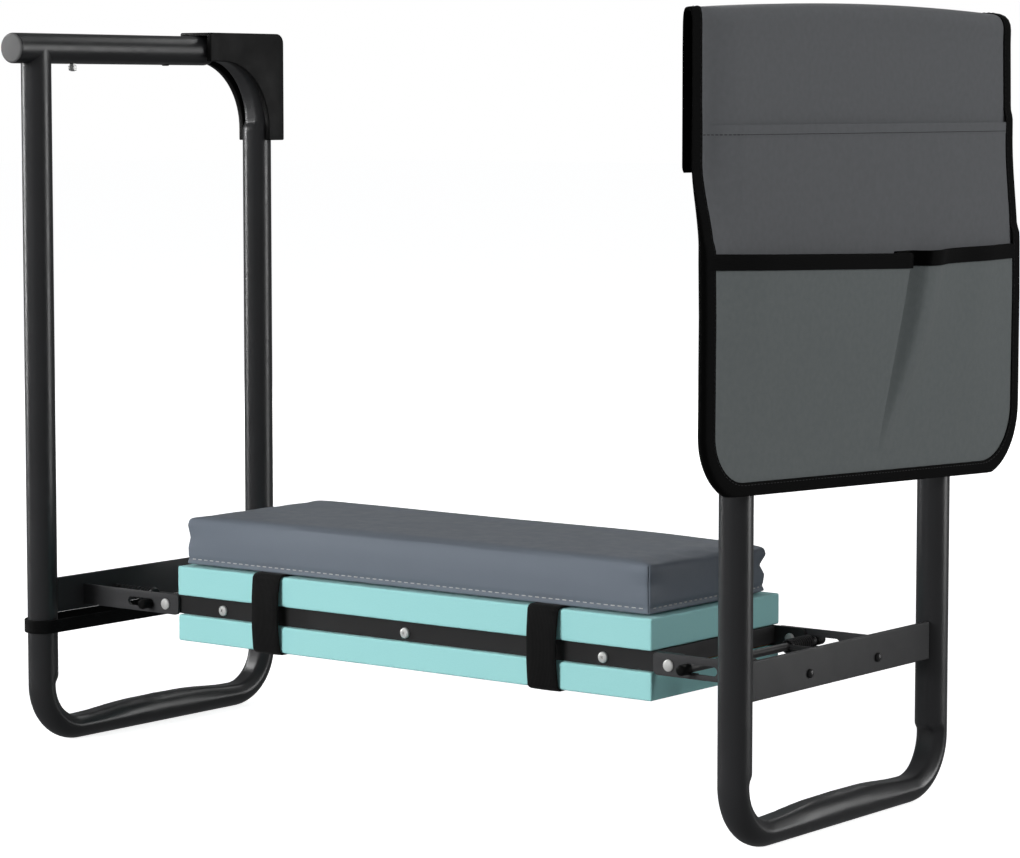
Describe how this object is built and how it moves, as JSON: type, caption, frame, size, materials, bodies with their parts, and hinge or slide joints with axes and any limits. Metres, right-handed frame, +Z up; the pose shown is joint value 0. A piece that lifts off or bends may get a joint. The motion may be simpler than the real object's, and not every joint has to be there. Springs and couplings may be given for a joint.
{
  "type": "garden kneeler seat",
  "caption": "Folding garden kneeler and seat: padded platform between two tube legs with spring-locked rods, a strapped cushion and a hanging tool bag.",
  "frame": {"origin": "on the floor, under the middle of the overall box (the bag reaches further out than the other leg, so the platform centre is 9.3 mm towards -X)", "axes": "+X along the seat towards the leg that carries the tool bag, -Y towards the side that the open handle ends point to, +Z up"},
  "size_m": [0.6254, 0.344, 0.499],
  "materials": {
    "powder_coat": "satin black powder coat",
    "bracket_coat": "satin dark grey powder coat",
    "black_steel": "semi-gloss black coated steel",
    "bright_steel": "bright zinc plated steel",
    "black_plastic": "matt black moulded plastic",
    "grey_plastic": "matt mid grey moulded plastic",
    "teal_foam": "matt closed-cell EVA foam, pale teal",
    "board": "plain board, hidden between the foam pads",
    "vinyl": "blue-grey soft vinyl, white stitching",
    "elastic": "black woven elastic webbing",
    "bag_cloth": "grey woven polyester, black binding tape"
  },
  "bodies": {
    "platform": {"upper_foam_pad": "teal_foam", "lower_foam_pad": "teal_foam", "core_board": "board", "seat_cushion": "vinyl", "left_end_member": "black_steel", "left_pad_strap": "elastic", "right_end_member": "black_steel", "right_pad_strap": "elastic", "front_rail": "black_steel", "front_rail_screw_1": "bright_steel", "front_rail_screw_2": "bright_steel", "front_rail_screw_3": "bright_steel", "left_front_pivot_rivet": "bright_steel", "right_front_pivot_rivet": "bright_steel", "back_rail": "black_steel", "back_rail_screw_1": "bright_steel", "back_rail_screw_2": "bright_steel", "back_rail_screw_3": "bright_steel", "left_back_pivot_rivet": "bright_steel", "right_back_pivot_rivet": "bright_steel"},
    "left_leg": {"left_leg_tube": "powder_coat", "left_handle_cap": "grey_plastic", "left_handle_screw": "bright_steel", "left_handle_plug": "black_plastic", "left_corner_cover": "black_plastic", "left_leg_bracket": "bracket_coat", "left_pin_spring": "black_steel", "storage_strap": "elastic"},
    "left_lock": {"left_lock_rod": "black_steel", "left_front_rod_cap": "black_plastic", "left_back_rod_cap": "black_plastic", "left_front_guide_pin": "black_steel", "left_back_guide_pin": "black_steel", "left_rod_spring": "black_steel"},
    "right_leg": {"right_leg_tube": "powder_coat", "right_handle_cap": "grey_plastic", "right_handle_screw": "bright_steel", "right_handle_plug": "black_plastic", "right_corner_cover": "black_plastic", "right_leg_bracket": "bracket_coat", "right_pin_spring": "black_steel"},
    "right_lock": {"right_lock_rod": "black_steel", "right_front_rod_cap": "black_plastic", "right_back_rod_cap": "black_plastic", "right_front_guide_pin": "black_steel", "right_back_guide_pin": "black_steel", "right_rod_spring": "black_steel"},
    "tool_bag": {"bag_panel": "bag_cloth", "bag_upper_pocket": "bag_cloth", "bag_lower_left_pocket": "bag_cloth", "bag_lower_right_pocket": "bag_cloth"}
  },
  "joints": [
    {"name": "left_leg_fold", "type": "hinge", "parent": "platform", "child": "left_leg", "pos_m": [-0.22043, 0, 0.0998], "axis": [0, 1, 0], "range_deg": [0, 89]},
    {"name": "right_leg_fold", "type": "hinge", "parent": "platform", "child": "right_leg", "pos_m": [0.20178, 0, 0.0998], "axis": [0, -1, 0], "range_deg": [0, 55]},
    {"name": "left_lock_slide", "type": "slide", "parent": "left_leg", "child": "left_lock", "axis": [-1, 0, 0], "range_m": [0, 0.017], "stiffness_N_per_m": 300, "springref_m": -0.012, "deforming": ["left_pin_spring"]},
    {"name": "right_lock_slide", "type": "slide", "parent": "right_leg", "child": "right_lock", "axis": [1, 0, 0], "range_m": [0, 0.017], "stiffness_N_per_m": 300, "springref_m": -0.012, "deforming": ["right_pin_spring"]},
    {"name": "bag_lift", "type": "slide", "parent": "right_leg", "child": "tool_bag", "axis": [0, 0, 1], "range_m": [0, 0.06]}
  ]
}
